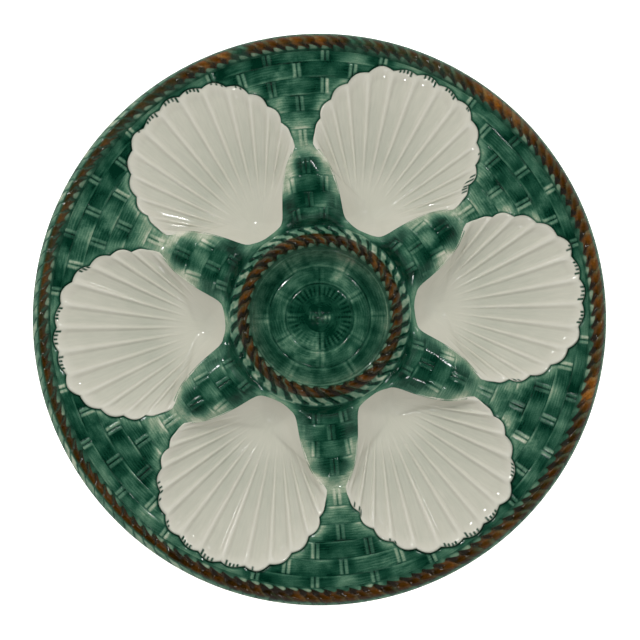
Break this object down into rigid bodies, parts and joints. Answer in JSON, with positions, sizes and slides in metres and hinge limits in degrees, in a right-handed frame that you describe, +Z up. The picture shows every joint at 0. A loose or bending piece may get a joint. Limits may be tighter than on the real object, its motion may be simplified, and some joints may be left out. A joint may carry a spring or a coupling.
{
  "type": "oyster plate",
  "caption": "Round oyster plate in majolica-glazed earthenware, with scallop shell wells round a sauce well, basket weave ground and rope rim.",
  "frame": {"origin": "middle of the foot ring's underside, on the table", "axes": "+Z up out of the wells, +X along the first shell from the plate's middle to the rim"},
  "size_m": [0.25, 0.25, 0.0249],
  "materials": {
    "cream_glaze": "clear glossy lead-style glaze over cream earthenware",
    "green_glaze": "translucent green glaze, pooled dark in the relief and thin on its crests",
    "rope_glaze": "translucent brown glaze on the crest, green on the flanks",
    "back_glaze": "clear glossy glaze over cream earthenware"
  },
  "bodies": {
    "root": {"plate_body": "back_glaze", "foot_ring": "back_glaze", "centre_well": "green_glaze", "well_rope": "rope_glaze", "rim_rope": "rope_glaze", "shell_1": "cream_glaze", "shell_2": "cream_glaze", "shell_3": "cream_glaze", "shell_4": "cream_glaze", "shell_5": "cream_glaze", "shell_6": "cream_glaze", "petal_1": "green_glaze", "petal_2": "green_glaze", "petal_3": "green_glaze", "petal_4": "green_glaze", "petal_5": "green_glaze", "petal_6": "green_glaze", "weave_panel_1": "green_glaze", "weave_panel_2": "green_glaze", "weave_panel_3": "green_glaze", "weave_panel_4": "green_glaze", "weave_panel_5": "green_glaze", "weave_panel_6": "green_glaze"}
  },
  "joints": []
}
